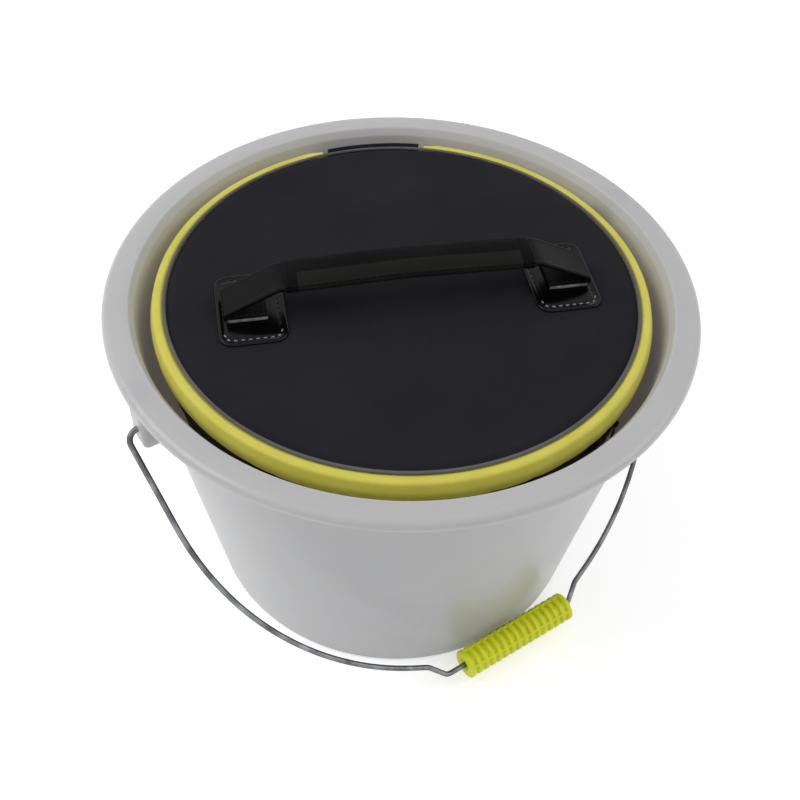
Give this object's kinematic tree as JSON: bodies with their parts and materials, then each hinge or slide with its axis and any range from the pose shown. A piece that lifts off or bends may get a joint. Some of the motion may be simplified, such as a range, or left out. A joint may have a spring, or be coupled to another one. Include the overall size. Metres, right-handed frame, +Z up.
{
  "type": "bait bucket",
  "caption": "Round tapered bucket with a swinging wire bail and ribbed grip, holding a lift-out bowl whose padded, zipped lid has a strap handle.",
  "frame": {"origin": "centre of the bucket's flat base, on the surface that it stands on", "axes": "+Z up along the bucket's axis, X along the line of the two ears that the bail turns in, and -Y towards the side where the bail lies at rest"},
  "size_m": [0.383, 0.37, 0.261],
  "materials": {
    "bucket_plastic": "satin moulded polypropylene",
    "bail_steel": "galvanised wire",
    "grip_plastic": "satin lime plastic",
    "bowl_plastic": "soft matt black sheet plastic",
    "lid_fabric": "fine black coated cloth",
    "lid_board": "stiff foam board",
    "lid_lining": "smooth black lining",
    "piping": "grey corded piping",
    "band_fabric": "padded lime coated cloth",
    "binding_tape": "black woven edge tape",
    "zip_tape": "black woven tape",
    "zip_coil": "black nylon coil",
    "zip_metal": "black painted die casting",
    "hinge_fabric": "black coated cloth",
    "patch_plastic": "glossy black welded patch",
    "strap_webbing": "black coated strap",
    "sleeve_cover": "soft grained black cover"
  },
  "bodies": {
    "bucket": {"bucket_shell": "bucket_plastic"},
    "bail": {"bail_wire": "bail_steel"},
    "grip": {"bail_grip": "grip_plastic"},
    "insert": {"bowl_shell": "bowl_plastic", "bowl_binding": "binding_tape", "zip_tape_lower": "zip_tape", "zip_coil_lower": "zip_coil", "zip_stop_left": "zip_metal", "zip_stop_right": "zip_metal", "hinge_panel": "hinge_fabric"},
    "lid": {"lid_top_panel": "lid_fabric", "lid_core": "lid_board", "lid_lining": "lid_lining", "lid_piping": "piping", "lid_side_band": "band_fabric", "zip_tape_upper": "zip_tape", "zip_coil_upper": "zip_coil", "handle_patch_left": "patch_plastic", "handle_patch_right": "patch_plastic", "handle_strap": "strap_webbing", "handle_sleeve": "sleeve_cover"},
    "slider_left": {"zip_slider_left": "zip_metal"},
    "slider_right": {"zip_slider_right": "zip_metal"},
    "pull_left": {"zip_pull_left": "zip_metal"},
    "pull_right": {"zip_pull_right": "zip_metal"}
  },
  "joints": [
    {"name": "bail_swing", "type": "hinge", "parent": "bucket", "child": "bail", "pos_m": [0, 0, 0.205], "axis": [-1, 0, 0], "range_deg": [0, 284.47]},
    {"name": "grip_spin", "type": "hinge", "parent": "bail", "child": "grip", "pos_m": [0, -0.1482, 0.0137], "axis": [1, 0, 0], "continuous": true},
    {"name": "insert_lift", "type": "slide", "parent": "bucket", "child": "insert", "axis": [0, 0, 1], "range_m": [0, 0.3]},
    {"name": "lid_open", "type": "hinge", "parent": "insert", "child": "lid", "pos_m": [0.06383, 0.13688, 0.2294], "axis": [-0.9063, 0.4226, 0], "range_deg": [0, 150]},
    {"name": "zip_slider_right_travel", "type": "hinge", "parent": "insert", "child": "slider_right", "pos_m": [0, 0, 0.20755], "axis": [0, 0, 1], "range_deg": [0, 118.2]},
    {"name": "zip_slider_left_travel", "type": "hinge", "parent": "insert", "child": "slider_left", "pos_m": [0, 0, 0.20755], "axis": [0, 0, -1], "range_deg": [0, 203.2]},
    {"name": "zip_pull_right_swing", "type": "hinge", "parent": "slider_right", "child": "pull_right", "pos_m": [0.05552, -0.14464, 0.20755], "axis": [0.3584, -0.9336, 0], "range_deg": [-15, 75]},
    {"name": "zip_pull_left_swing", "type": "hinge", "parent": "slider_left", "child": "pull_left", "pos_m": [0.03748, -0.15033, 0.20755], "axis": [-0.2419, 0.9703, 0], "range_deg": [-15, 75]}
  ]
}
